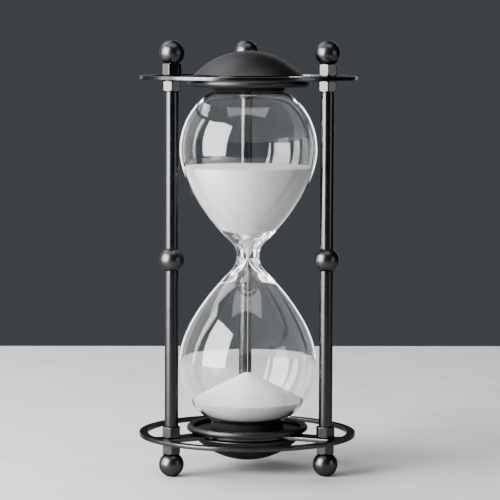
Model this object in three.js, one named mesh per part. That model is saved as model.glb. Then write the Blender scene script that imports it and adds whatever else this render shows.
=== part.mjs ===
// An hourglass: one blown glass with two bulbs, standing between two ring plates that three
// ball-jointed posts hold apart. Millimetres, +Z up. The origin is on the floor, under the
// middle of the glass. The frame is the same at both ends, so the glass can be turned over.
import * as THREE from 'three';

// The glass, from which the frame takes its height and width.
const GLASS_LENGTH = 197.6;
const BULB_DIAMETER = 83.1;
const GLASS_WALL = 1.4;
const NECK_DIAMETER = 13.5;
const NECK_BEND_RADIUS = 12;
const FLARE_ANGLE = THREE.MathUtils.degToRad(49.6);
const THROAT_DIAMETER = 1.5;
const THROAT_LENGTH = 2;
const END_FLAT_DIAMETER = 36;
const FILL_HOLE_DIAMETER = 12;

// How the curve of a bulb runs: the share of its height at which it is widest, and how far
// each end of the two curves that meet there pulls along its own direction.
const WIDEST_SHARE = 0.648;
const FLARE_START_PULL = 5.7;
const FLARE_END_PULL = 24.7;
const CAP_START_PULL = 17;
const CAP_END_PULL = 12;

// The funnel inside the thick glass of the neck: how steeply it leaves the throat, how far each
// end of its curve pulls, and how far along the flare the wall has thinned to its full extent.
const THROAT_ANGLE = THREE.MathUtils.degToRad(15);
const THROAT_PULL = 9;
const FUNNEL_PULL = 5;
const FUNNEL_JOIN = 0.25;

// The sand.
const UPPER_SAND_HEIGHT = 53.8;
const UPPER_SAND_DIP = 1.2;
const HEAP_EDGE_HEIGHT = 11;
const HEAP_SLOPE = THREE.MathUtils.degToRad(26);

// The pads, dishes, ring plates and domes that stack up outside each end of the glass.
const PAD_THICKNESS = 5.5;
const PAD_DIAMETER = 44;
const PAD_HOLE_DIAMETER = 14;
const PAD_EDGE_RADIUS = 1.5;
const DISH_DIAMETER = 72.8;
const DISH_SHEET = 1;
const DISH_RIM_DIAMETER = 4.2;
const PLATE_THICKNESS = 2.5;
const PLATE_HUB_DIAMETER = 60;
const PLATE_RIM_WIDTH = 5;
const SPOKE_WIDTH = 12;
const DOME_DIAMETER = 65.6;
const DOME_HEIGHT = 14.6;
const DOME_SHEET = 1;
const STUD_DIAMETER = 5;
const STUD_HEAD_DIAMETER = 10;
const STUD_HEAD_THICKNESS = 1.5;
const CENTRE_NUT_ACROSS_FLATS = 8;
const CENTRE_NUT_THICKNESS = 4;

// The three posts, each a tie rod through two tubes, four hexagon pieces and three balls.
const POST_ANGLES = { left: 210, right: 330, rear: 90 };
const ROD_DIAMETER = 6;
const TUBE_WALL = 0.7;
const HEX_ACROSS_FLATS = 10;
const COLLAR_LENGTH = 7.2;
const POST_NUT_LENGTH = 6.5;
const BALL_DIAMETER = 15;
const BALL_BORE_DEPTH = 8;
const REST_FLAT_DIAMETER = 4.4;
const BULB_TO_TUBE_GAP = 7.15;
const PLATE_EDGE_TO_POST = 12.3;

// How far each hexagon piece happened to turn as it was tightened, in degrees.
const HEX_TURNS = {
  left: { bottomCollar: 4, bottomNut: -5, topCollar: 43, topNut: 0 },
  right: { bottomCollar: -3, bottomNut: 8, topCollar: 1, topNut: -2 },
  rear: { bottomCollar: 12, bottomNut: 25, topCollar: 17, topNut: 9 },
};

// Clearances.
const SEAT_GAP = 0.1;
const BORE_CLEARANCE = 0.3;
const STOPPER_CLEARANCE = 0.2;
const SAND_GAP = 0.3;
const WELD_GAP = 0.3;
const STUD_END_GAP = 0.8;
const HEX_SEAT_MARGIN = 0.5;

// Facets: steps around a large and a small round piece, and along each curved stretch.
const LARGE_ROUND_STEPS = 28;
const SMALL_ROUND_STEPS = 16;
const PLATE_ROUND_STEPS = 48;
const BALL_ARC_STEPS = 6;
const DOME_ARC_STEPS = 6;
const RIM_ARC_STEPS = 7;
const PAD_ARC_STEPS = 2;
const NECK_ARC_STEPS = 3;
const FUNNEL_STEPS = 4;
const FLARE_STEPS = 5;
const CAP_STEPS = 4;

// Distances from the mid-plane of the glass, outwards. Both ends are alike.
const glassEnd = GLASS_LENGTH / 2;
const padInner = glassEnd + SEAT_GAP;
const padOuter = padInner + PAD_THICKNESS;
const dishInner = padOuter + SEAT_GAP;
const dishOuter = dishInner + DISH_SHEET;
const plateInner = dishOuter + SEAT_GAP;
const plateOuter = plateInner + PLATE_THICKNESS;
const collarInner = plateOuter + SEAT_GAP;
const collarOuter = collarInner + COLLAR_LENGTH;
const ballSeat = collarOuter + SEAT_GAP;
const postNutOuter = plateInner - SEAT_GAP;
const postNutInner = postNutOuter - POST_NUT_LENGTH;

// Radii, and the distances that follow from a circle cut by a flat.
const flatDistance = (radius, flatRadius) => Math.sqrt(radius ** 2 - flatRadius ** 2);
const bulbRadius = BULB_DIAMETER / 2;
const ballRadius = BALL_DIAMETER / 2;
const rodRadius = ROD_DIAMETER / 2;
const rodBoreRadius = rodRadius + BORE_CLEARANCE;
const tubeRadius = rodBoreRadius + TUBE_WALL;
const ballSeatRadius = HEX_ACROSS_FLATS / 2 - HEX_SEAT_MARGIN;
const restFlatRadius = REST_FLAT_DIAMETER / 2;
const ballCentre = ballSeat + flatDistance(ballRadius, ballSeatRadius);
const restFlat = ballCentre + flatDistance(ballRadius, restFlatRadius);
const ballBoreEnd = ballSeat + BALL_BORE_DEPTH;
const middleBallFlat = flatDistance(ballRadius, tubeRadius);
const postCircleRadius = bulbRadius + BULB_TO_TUBE_GAP + tubeRadius;
const plateRadius = postCircleRadius + PLATE_EDGE_TO_POST;
const studRadius = STUD_DIAMETER / 2;
const studBoreRadius = studRadius + BORE_CLEARANCE;
const floorToMiddle = restFlat;

const blackMetal = new THREE.MeshStandardMaterial({ color: 0x1d1d1f, roughness: 0.32, metalness: 0.9 });
const plainSteel = new THREE.MeshStandardMaterial({ color: 0x9a9a9c, roughness: 0.4, metalness: 1 });
const padRubber = new THREE.MeshStandardMaterial({ color: 0x161616, roughness: 0.9, metalness: 0 });
const stopperRubber = new THREE.MeshStandardMaterial({ color: 0xc9c6be, roughness: 0.6, metalness: 0 });
const whiteSand = new THREE.MeshStandardMaterial({ color: 0xf1f0ec, roughness: 0.95, metalness: 0 });
const clearGlass = new THREE.MeshStandardMaterial({
  color: 0xe8eeee, roughness: 0.03, metalness: 0, transparent: true, opacity: 0.3,
});

/** Points on an arc, both ends included; angles in radians, anticlockwise from +r. */
function arcPoints(centreX, centreY, radius, from, to, steps) {
  return Array.from({ length: steps + 1 }, (_, i) => {
    const angle = from + ((to - from) * i) / steps;
    return new THREE.Vector2(centreX + radius * Math.cos(angle), centreY + radius * Math.sin(angle));
  });
}

/** A named mesh turned from a closed profile of (radius, height) points, given in either sense. */
function turned(name, profile, steps, material) {
  const area = profile.reduce((sum, p, i) => sum + p.cross(profile[(i + 1) % profile.length]), 0);
  const points = area > 0 ? profile : [...profile].reverse();
  const geometry = new THREE.LatheGeometry(points, steps);
  geometry.rotateX(Math.PI / 2);
  const mesh = new THREE.Mesh(geometry, material);
  mesh.name = name;
  return mesh;
}

/** A closed profile for a piece with a bore: the outline's first point again closes the ring. */
const ringProfile = (points) => [...points, points[0].clone()];

/** (radius, height) points for a plain ring between two radii and two heights. */
function washerPoints(inner, outer, low, high) {
  return ringProfile([
    new THREE.Vector2(inner, low),
    new THREE.Vector2(outer, low),
    new THREE.Vector2(outer, high),
    new THREE.Vector2(inner, high),
  ]);
}

/** The same outline at the end given by side: +1 above the mid-plane, -1 below it. */
const atEnd = (points, side) => points.map((p) => new THREE.Vector2(p.x, side * p.y));

/** A hexagon prism with a round bore, between two heights, with one corner turned towards -Y. */
function hexPiece(name, acrossFlats, boreRadius, low, high, turn, material) {
  const cornerRadius = acrossFlats / Math.sqrt(3);
  const start = -Math.PI / 2 + THREE.MathUtils.degToRad(turn);
  const shape = new THREE.Shape(arcPoints(0, 0, cornerRadius, start, start + Math.PI * 2, 6).slice(0, -1));
  const bore = arcPoints(0, 0, boreRadius, 0, Math.PI * 2, SMALL_ROUND_STEPS).slice(0, -1);
  shape.holes.push(new THREE.Path(bore));
  const geometry = new THREE.ExtrudeGeometry(shape, { depth: high - low, bevelEnabled: false });
  const mesh = new THREE.Mesh(geometry, material);
  mesh.name = name;
  mesh.position.z = low;
  return mesh;
}

// The outside of a bulb, from the mid-plane up: the neck's bend, the flare out to the widest
// ring, and the cap over to the flat end. The two curves run smoothly into each other.
const neckBendCentre = NECK_DIAMETER / 2 + NECK_BEND_RADIUS;
const flareStart = new THREE.Vector2(
  neckBendCentre - NECK_BEND_RADIUS * Math.cos(FLARE_ANGLE),
  NECK_BEND_RADIUS * Math.sin(FLARE_ANGLE),
);
const flareDirection = new THREE.Vector2(Math.sin(FLARE_ANGLE), Math.cos(FLARE_ANGLE));
const widestPoint = new THREE.Vector2(bulbRadius, glassEnd * WIDEST_SHARE);
const flareCurve = new THREE.CubicBezierCurve(
  flareStart,
  flareStart.clone().addScaledVector(flareDirection, FLARE_START_PULL),
  new THREE.Vector2(bulbRadius, widestPoint.y - FLARE_END_PULL),
  widestPoint,
);
const capCurve = new THREE.CubicBezierCurve(
  widestPoint,
  new THREE.Vector2(bulbRadius, widestPoint.y + CAP_START_PULL),
  new THREE.Vector2(END_FLAT_DIAMETER / 2 + CAP_END_PULL, glassEnd),
  new THREE.Vector2(END_FLAT_DIAMETER / 2, glassEnd),
);

/** Points of a curve from a share of its length, each moved square to it into the glass. */
function parallelPoints(curve, distance, steps, from = 0) {
  return Array.from({ length: steps + 1 }, (_, i) => {
    const share = from + ((1 - from) * i) / steps;
    const tangent = curve.getTangent(share);
    const inwards = new THREE.Vector2(-tangent.y, tangent.x);
    return curve.getPoint(share).addScaledVector(inwards, distance);
  });
}

/** The outside of a bulb as points, from the neck to the edge of the flat end. */
function outerOutline() {
  const neck = arcPoints(
    neckBendCentre, 0, NECK_BEND_RADIUS, Math.PI, Math.PI - FLARE_ANGLE, NECK_ARC_STEPS,
  );
  const flare = parallelPoints(flareCurve, 0, FLARE_STEPS).slice(1);
  const cap = parallelPoints(capCurve, 0, CAP_STEPS).slice(1);
  return [...neck, ...flare, ...cap];
}

// The funnel inside the neck, from the straight throat out to the full thinness of the wall.
const throatTop = new THREE.Vector2(THROAT_DIAMETER / 2, THROAT_LENGTH / 2);
const throatDirection = new THREE.Vector2(Math.sin(THROAT_ANGLE), Math.cos(THROAT_ANGLE));
const funnelTop = parallelPoints(flareCurve, GLASS_WALL, 1, FUNNEL_JOIN)[0];
const funnelCurve = new THREE.CubicBezierCurve(
  throatTop,
  throatTop.clone().addScaledVector(throatDirection, THROAT_PULL),
  funnelTop.clone().addScaledVector(flareCurve.getTangent(FUNNEL_JOIN), -FUNNEL_PULL),
  funnelTop,
);

/** The inside of a bulb as points, moved inwards by a gap, from the throat to the flat end. */
function innerOutline(gap) {
  const throat = new THREE.Vector2(throatTop.x - gap, throatTop.y);
  const funnel = parallelPoints(funnelCurve, gap, FUNNEL_STEPS).slice(1);
  const flare = parallelPoints(flareCurve, GLASS_WALL + gap, FLARE_STEPS, FUNNEL_JOIN).slice(1);
  const cap = parallelPoints(capCurve, GLASS_WALL + gap, CAP_STEPS).slice(1);
  return [throat, ...funnel, ...flare, ...cap];
}

/** The radius of an outline at a height, on the straight line between its points. */
function radiusAt(outline, height) {
  const next = outline.findIndex((p) => p.y >= height);
  const low = outline[next - 1];
  const high = outline[next];
  return low.x + ((high.x - low.x) * (height - low.y)) / (high.y - low.y);
}

function makeGlass() {
  const outside = outerOutline();
  const inside = innerOutline(0);
  const upperOutside = outside.slice(1);
  const holeRadius = FILL_HOLE_DIAMETER / 2;
  const profile = [
    new THREE.Vector2(0, -glassEnd),
    ...atEnd(outside, -1).reverse(),
    ...upperOutside,
    new THREE.Vector2(holeRadius, glassEnd),
    new THREE.Vector2(holeRadius, glassEnd - GLASS_WALL),
    ...[...inside].reverse(),
    ...atEnd(inside, -1),
    new THREE.Vector2(0, GLASS_WALL - glassEnd),
  ];
  return turned('glass_bulb', profile, LARGE_ROUND_STEPS, clearGlass);
}

function makeStopper() {
  const radius = FILL_HOLE_DIAMETER / 2 - STOPPER_CLEARANCE;
  const profile = [
    new THREE.Vector2(0, glassEnd - GLASS_WALL),
    new THREE.Vector2(radius, glassEnd - GLASS_WALL),
    new THREE.Vector2(radius, glassEnd),
    new THREE.Vector2(0, glassEnd),
  ];
  return turned('fill_stopper', profile, LARGE_ROUND_STEPS, stopperRubber);
}

function makeSand() {
  const outline = innerOutline(SAND_GAP);
  const tip = outline[0];
  const stream = tip.x;
  const between = outline.filter((p) => p.y > tip.y && p.y < UPPER_SAND_HEIGHT);
  const upper = [
    new THREE.Vector2(0, tip.y),
    tip,
    ...between,
    new THREE.Vector2(radiusAt(outline, UPPER_SAND_HEIGHT), UPPER_SAND_HEIGHT),
    new THREE.Vector2(0, UPPER_SAND_HEIGHT - UPPER_SAND_DIP),
  ];

  const heapEdge = glassEnd - GLASS_WALL - HEAP_EDGE_HEIGHT;
  const heapRadius = radiusAt(outline, heapEdge);
  const heapTop = heapEdge - heapRadius * Math.tan(HEAP_SLOPE);
  const lower = [
    new THREE.Vector2(0, heapTop),
    new THREE.Vector2(heapRadius, heapEdge),
    ...outline.filter((p) => p.y > heapEdge),
    new THREE.Vector2(0, glassEnd - GLASS_WALL - SAND_GAP),
  ];

  const falling = [
    new THREE.Vector2(0, SAND_GAP - heapTop),
    new THREE.Vector2(stream, SAND_GAP - heapTop),
    new THREE.Vector2(stream, tip.y - SAND_GAP),
    new THREE.Vector2(0, tip.y - SAND_GAP),
  ];
  return [
    turned('sand_upper', upper, LARGE_ROUND_STEPS, whiteSand),
    turned('sand_lower', atEnd(lower, -1), LARGE_ROUND_STEPS, whiteSand),
    turned('sand_stream', falling, SMALL_ROUND_STEPS, whiteSand),
  ];
}

/** A ring with a hub and three spokes, cut from one sheet, with a hole for each post. */
function makeRingPlate(endName, side) {
  const rimInner = plateRadius - PLATE_RIM_WIDTH;
  const hubRadius = PLATE_HUB_DIAMETER / 2;
  const rimTurn = Math.asin(SPOKE_WIDTH / 2 / rimInner);
  const hubTurn = Math.asin(SPOKE_WIDTH / 2 / hubRadius);
  const spokeStep = (Math.PI * 2) / 3;
  const sideSteps = PLATE_ROUND_STEPS / 4;
  const outer = arcPoints(0, 0, plateRadius, 0, Math.PI * 2, PLATE_ROUND_STEPS).slice(0, -1);
  const shape = new THREE.Shape(outer);
  const hole = (x, y, radius) => {
    const points = arcPoints(x, y, radius, 0, Math.PI * 2, SMALL_ROUND_STEPS).slice(0, -1);
    shape.holes.push(new THREE.Path(points));
  };
  hole(0, 0, studBoreRadius);
  for (const degrees of Object.values(POST_ANGLES)) {
    const angle = THREE.MathUtils.degToRad(degrees);
    hole(postCircleRadius * Math.cos(angle), postCircleRadius * Math.sin(angle), rodBoreRadius);
    const gap = [
      ...arcPoints(0, 0, rimInner, angle + rimTurn, angle + spokeStep - rimTurn, sideSteps),
      ...arcPoints(0, 0, hubRadius, angle + spokeStep - hubTurn, angle + hubTurn, sideSteps / 2),
    ];
    shape.holes.push(new THREE.Path(gap));
  }
  const geometry = new THREE.ExtrudeGeometry(shape, { depth: PLATE_THICKNESS, bevelEnabled: false });
  const mesh = new THREE.Mesh(geometry, blackMetal);
  mesh.name = `${endName}_ring_plate`;
  mesh.position.z = side > 0 ? plateInner : -plateOuter;
  return mesh;
}

/** A spun sheet dome, open towards the plate it stands on. */
function makeDome(endName, side) {
  const base = plateOuter + SEAT_GAP;
  const baseRadius = DOME_DIAMETER / 2;
  const sphere = (baseRadius ** 2 + DOME_HEIGHT ** 2) / (2 * DOME_HEIGHT);
  const centre = base + DOME_HEIGHT - sphere;
  const startAngle = (radius) => Math.asin((base - centre) / radius);
  const top = Math.PI / 2;
  const outside = arcPoints(0, centre, sphere, startAngle(sphere), top, DOME_ARC_STEPS);
  const insideRadius = sphere - DOME_SHEET;
  const inside = arcPoints(0, centre, insideRadius, top, startAngle(insideRadius), DOME_ARC_STEPS);
  inside[0].x = 0;
  outside[DOME_ARC_STEPS].x = 0;
  const mesh = turned(`${endName}_dome`, atEnd([...inside, ...outside], side), LARGE_ROUND_STEPS, blackMetal);
  const headTop = centre + flatDistance(insideRadius, STUD_HEAD_DIAMETER / 2) - WELD_GAP;
  return { mesh, headTop };
}

/** The stud whose head is welded inside the dome; it draws dome, plate and dish together. */
function makeCentreStud(endName, side, headTop) {
  const headRadius = STUD_HEAD_DIAMETER / 2;
  const headUnder = headTop - STUD_HEAD_THICKNESS;
  const tip = padInner + STUD_END_GAP;
  const profile = [
    new THREE.Vector2(0, tip),
    new THREE.Vector2(studRadius, tip),
    new THREE.Vector2(studRadius, headUnder),
    new THREE.Vector2(headRadius, headUnder),
    new THREE.Vector2(headRadius, headTop),
    new THREE.Vector2(0, headTop),
  ];
  return turned(`${endName}_centre_stud`, atEnd(profile, side), SMALL_ROUND_STEPS, plainSteel);
}

function makeCentreNut(endName, side) {
  const outer = dishInner - SEAT_GAP;
  const inner = outer - CENTRE_NUT_THICKNESS;
  const low = side > 0 ? inner : -outer;
  const high = low + CENTRE_NUT_THICKNESS;
  return hexPiece(
    `${endName}_centre_nut`, CENTRE_NUT_ACROSS_FLATS, studBoreRadius, low, high, 0, plainSteel,
  );
}

/** A shallow spun dish that lies on the plate, with its edge rolled into a round bead. */
function makeDish(endName, side) {
  const bead = DISH_RIM_DIAMETER / 2;
  const beadRadius = DISH_DIAMETER / 2 - bead;
  const beadHeight = dishOuter - bead;
  const meet = Math.asin((dishInner - beadHeight) / bead);
  const rim = arcPoints(beadRadius, beadHeight, bead, Math.PI / 2, meet - Math.PI, RIM_ARC_STEPS);
  const around = arcPoints(beadRadius, beadHeight, bead, Math.PI / 2, -Math.PI - meet, RIM_ARC_STEPS);
  const points = meet > 0 ? around : rim;
  const profile = ringProfile([
    new THREE.Vector2(studBoreRadius, dishOuter),
    ...points,
    new THREE.Vector2(studBoreRadius, dishInner),
  ]);
  return turned(`${endName}_dish`, atEnd(profile, side), LARGE_ROUND_STEPS, blackMetal);
}

/** A rubber ring between the dish and the end of the glass, open in the middle for the nut. */
function makePad(endName, side) {
  const outer = PAD_DIAMETER / 2;
  const corner = outer - PAD_EDGE_RADIUS;
  const low = padInner + PAD_EDGE_RADIUS;
  const high = padOuter - PAD_EDGE_RADIUS;
  const profile = ringProfile([
    new THREE.Vector2(PAD_HOLE_DIAMETER / 2, padInner),
    ...arcPoints(corner, low, PAD_EDGE_RADIUS, -Math.PI / 2, 0, PAD_ARC_STEPS),
    ...arcPoints(corner, high, PAD_EDGE_RADIUS, 0, Math.PI / 2, PAD_ARC_STEPS),
    new THREE.Vector2(PAD_HOLE_DIAMETER / 2, padOuter),
  ]);
  return turned(`${endName}_rubber_pad`, atEnd(profile, side), LARGE_ROUND_STEPS, padRubber);
}

/** An end ball with a flat where it seats on its collar, a blind bore there, and a flat to stand on. */
function makeEndBall(name, side) {
  const seatAngle = Math.asin((ballSeat - ballCentre) / ballRadius);
  const restAngle = Math.asin((restFlat - ballCentre) / ballRadius);
  const profile = [
    new THREE.Vector2(0, ballBoreEnd),
    new THREE.Vector2(rodBoreRadius, ballBoreEnd),
    new THREE.Vector2(rodBoreRadius, ballSeat),
    ...arcPoints(0, ballCentre, ballRadius, seatAngle, restAngle, BALL_ARC_STEPS),
    new THREE.Vector2(0, restFlat),
  ];
  return turned(name, atEnd(profile, side), SMALL_ROUND_STEPS, blackMetal);
}

/** The ball between the two tubes, bored through, with a flat for each tube. */
function makeMiddleBall(name) {
  const flatAngle = Math.asin(middleBallFlat / ballRadius);
  const profile = ringProfile([
    new THREE.Vector2(rodBoreRadius, -middleBallFlat),
    ...arcPoints(0, 0, ballRadius, -flatAngle, flatAngle, BALL_ARC_STEPS),
    new THREE.Vector2(rodBoreRadius, middleBallFlat),
  ]);
  return turned(name, profile, SMALL_ROUND_STEPS, blackMetal);
}

function makeTieRod(name) {
  const end = ballBoreEnd - BORE_CLEARANCE;
  const profile = [
    new THREE.Vector2(0, -end),
    new THREE.Vector2(rodRadius, -end),
    new THREE.Vector2(rodRadius, end),
    new THREE.Vector2(0, end),
  ];
  return turned(name, profile, SMALL_ROUND_STEPS, plainSteel);
}

/** One post: all its pieces are threaded on the tie rod and clamped between the end balls. */
function makePost(postName, degrees) {
  const turns = HEX_TURNS[postName];
  const tube = (name, side) => {
    const ends = [middleBallFlat + SEAT_GAP, postNutInner - SEAT_GAP];
    const points = atEnd(washerPoints(rodBoreRadius, tubeRadius, ...ends), side);
    return turned(name, points, SMALL_ROUND_STEPS, blackMetal);
  };
  const hex = (name, low, high, turn) => (
    hexPiece(name, HEX_ACROSS_FLATS, rodBoreRadius, low, high, turn, blackMetal)
  );
  const post = new THREE.Group();
  post.add(
    makeEndBall(`${postName}_foot_ball`, -1),
    hex(`${postName}_bottom_collar`, -collarOuter, -collarInner, turns.bottomCollar),
    hex(`${postName}_bottom_nut`, -postNutOuter, -postNutInner, turns.bottomNut),
    tube(`${postName}_lower_tube`, -1),
    makeMiddleBall(`${postName}_middle_ball`),
    tube(`${postName}_upper_tube`, 1),
    hex(`${postName}_top_nut`, postNutInner, postNutOuter, turns.topNut),
    hex(`${postName}_top_collar`, collarInner, collarOuter, turns.topCollar),
    makeEndBall(`${postName}_finial_ball`, 1),
    makeTieRod(`${postName}_tie_rod`),
  );
  const angle = THREE.MathUtils.degToRad(degrees);
  post.position.set(postCircleRadius * Math.cos(angle), postCircleRadius * Math.sin(angle), 0);
  return post;
}

/** The pieces outside one end of the glass, from the dome in to the pad. */
function makeEnd(endName, side) {
  const dome = makeDome(endName, side);
  const end = new THREE.Group();
  end.add(
    dome.mesh,
    makeCentreStud(endName, side, dome.headTop),
    makeRingPlate(endName, side),
    makeDish(endName, side),
    makeCentreNut(endName, side),
    makePad(endName, side),
  );
  return end;
}

const hourglass = new THREE.Group();
hourglass.position.z = floorToMiddle;
hourglass.add(makeEnd('bottom', -1), makeEnd('top', 1));
for (const [postName, degrees] of Object.entries(POST_ANGLES)) {
  hourglass.add(makePost(postName, degrees));
}
hourglass.add(makeGlass(), makeStopper(), ...makeSand());

export default hourglass;
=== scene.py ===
# %% [markdown]
# # An hourglass in a black ball-and-rod frame
#
# This notebook dresses a finished engineering model of an hourglass. The model already fixes
# every size and place. Here each piece gets the smooth surface and the finish that the real
# one has: blown glass, satin black metal, loose white sand and moulded rubber.
#
# Everything is in metres, with +Z up and the floor at zero, exactly as in the model.

import bpy
import numpy as np
from mathutils import Matrix, Vector
from mathutils.geometry import tessellate_polygon


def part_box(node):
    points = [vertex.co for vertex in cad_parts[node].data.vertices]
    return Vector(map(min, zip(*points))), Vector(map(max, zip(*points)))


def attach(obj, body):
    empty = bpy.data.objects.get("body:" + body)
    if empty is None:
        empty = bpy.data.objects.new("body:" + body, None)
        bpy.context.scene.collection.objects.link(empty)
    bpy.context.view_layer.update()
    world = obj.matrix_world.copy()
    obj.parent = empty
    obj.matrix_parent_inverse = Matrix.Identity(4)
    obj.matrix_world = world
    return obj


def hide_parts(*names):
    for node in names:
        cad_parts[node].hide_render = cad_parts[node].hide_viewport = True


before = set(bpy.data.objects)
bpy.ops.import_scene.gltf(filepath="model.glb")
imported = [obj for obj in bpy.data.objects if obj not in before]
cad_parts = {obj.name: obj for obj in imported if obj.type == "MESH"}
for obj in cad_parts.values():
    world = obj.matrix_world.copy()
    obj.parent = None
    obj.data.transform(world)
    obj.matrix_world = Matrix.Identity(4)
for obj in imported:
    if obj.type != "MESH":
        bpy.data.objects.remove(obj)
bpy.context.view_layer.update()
MM = 0.001

# %% [markdown]
# ## Sizes come from the model
#
# A piece that is made again has to sit exactly where the model has it, so the heights and
# widths are read from the boxes of the model's nodes. Only what a box can't tell, such as the
# radius of an edge, is written down here.

# %% Read the sizes
def low_high(node):
    """The lowest and the highest corner of a node, as two arrays."""
    low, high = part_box(node)
    return np.array(low), np.array(high)


glass_low, glass_high = low_high("glass_bulb")
MIDDLE = (glass_low[2] + glass_high[2]) / 2
GLASS_HALF = (glass_high[2] - glass_low[2]) / 2
BULB_RADIUS = glass_high[0]
POSTS = ("left", "right", "rear")
ENDS = {"bottom": -1, "top": 1}


def post_centre(post):
    """Where a post stands on the floor."""
    low, high = low_high(f"{post}_tie_rod")
    return (low[:2] + high[:2]) / 2


print("middle height:", round(MIDDLE / MM, 2), " widest radius:", round(BULB_RADIUS / MM, 2))

# %% [markdown]
# ## Three ways to make a surface
#
# Nearly every piece of this frame is turned on a lathe, so one function carries a profile
# round an axis. A hexagon nut is the same idea with a radius that also depends on the angle.
# The flat plates are the exception: their edge is carried round an outline instead.
#
# Each function also stores how sharply the surface turns at each point. The metal finish
# reads it later to rub the black a little thinner on the edges, where hands touch it.

# %% Profiles: straight runs, arcs and rounded corners
def arc(centre, radius, start, stop, steps):
    """Points on a circle from one angle to another, in degrees, as rows of (radius, height)."""
    angle = np.radians(np.linspace(start, stop, steps + 1))
    return np.column_stack((centre[0] + radius * np.cos(angle), centre[1] + radius * np.sin(angle)))


def bezier(start, pull_start, pull_end, stop, steps):
    """A cubic curve: each point is a blend of four, with weights that are cubic in t."""
    t = np.linspace(0, 1, steps + 1)[:, None]
    u = 1 - t
    ends = u**3 * np.array(start) + t**3 * np.array(stop)
    return ends + 3 * u**2 * t * np.array(pull_start) + 3 * u * t**2 * np.array(pull_end)


def rounded(corners, radii, steps=5):
    """A path through corners, each replaced by an arc that touches both of its sides."""
    corners = np.array(corners, float)
    path = [corners[:1]]
    for before, corner, after, radius in zip(corners, corners[1:], corners[2:], radii):
        to_before = (before - corner) / np.linalg.norm(before - corner)
        to_after = (after - corner) / np.linalg.norm(after - corner)
        half = np.arccos(np.clip(to_before @ to_after, -1, 1)) / 2
        if radius == 0:
            path.append(corner[None])
            continue
        centre = corner + (to_before + to_after) / (2 * np.cos(half)) * radius / np.sin(half)
        touch = corner + to_before * radius / np.tan(half) - centre
        to_corner = corner - centre
        sweep = (np.pi - 2 * half) * np.sign(touch[0] * to_corner[1] - touch[1] * to_corner[0])
        turn = sweep * np.linspace(0, 1, steps + 1)
        x = touch[0] * np.cos(turn) - touch[1] * np.sin(turn)
        y = touch[0] * np.sin(turn) + touch[1] * np.cos(turn)
        path.append(centre + np.column_stack((x, y)))
    path.append(corners[-1:])
    return np.vstack(path)


WORN_RADIUS = 0.35 * MM
SHARP_EDGE = np.radians(38)
TINY_AREA = 1e-12
TINY_LENGTH = 1e-6


def edge_wear(profile, closed):
    """How worn a profile is at each point: its outward turn for each length, up to 1, which an
    edge rounded to WORN_RADIUS reaches."""
    before = np.roll(profile, 1, axis=0)
    after = np.roll(profile, -1, axis=0)
    if not closed:
        before[0], after[-1] = profile[0], profile[-1]
    into, out = profile - before, after - profile
    turn = into[:, 0] * out[:, 1] - into[:, 1] * out[:, 0]
    size = np.linalg.norm(into, axis=1) * np.linalg.norm(out, axis=1)
    length = (np.linalg.norm(into, axis=1) + np.linalg.norm(out, axis=1)) / 2
    angle = np.arcsin(np.clip(turn / np.maximum(size, TINY_AREA), -1, 1))
    return np.clip(WORN_RADIUS * angle / np.maximum(length, TINY_LENGTH), 0, 1)


print("a quarter circle in two steps:", arc((0, 0), 1, 0, 90, 2).round(2).tolist())

# %% Put arrays into a mesh
def mesh_object(name, points, faces, wear=None):
    """A mesh from arrays, smooth but for its sharp edges, on an object at the origin."""
    mesh = bpy.data.meshes.new(name)
    mesh.from_pydata(points.tolist(), [], faces)
    mesh.shade_smooth()
    mesh.set_sharp_from_angle(angle=SHARP_EDGE)
    if wear is not None:
        layer = mesh.attributes.new("wear", "FLOAT", "POINT")
        layer.data.foreach_set("value", wear.astype(np.float32))
    piece = bpy.data.objects.new(name, mesh)
    bpy.context.scene.collection.objects.link(piece)
    return piece


def grid_faces(rows, columns, wrap_rows):
    """Four-sided faces between neighbours on a grid. Its columns go all the way round, and so
    do its rows if they wrap."""
    last = rows if wrap_rows else rows - 1
    i, j = np.meshgrid(np.arange(last), np.arange(columns), indexing="ij")
    up, across = (i + 1) % rows, (j + 1) % columns
    here, above = i * columns, up * columns
    return np.stack((here + j, here + across, above + across, above + j), -1).reshape(-1, 4)


print("faces of a 3 by 4 grid that goes round:", len(grid_faces(3, 4, False)))


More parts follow.
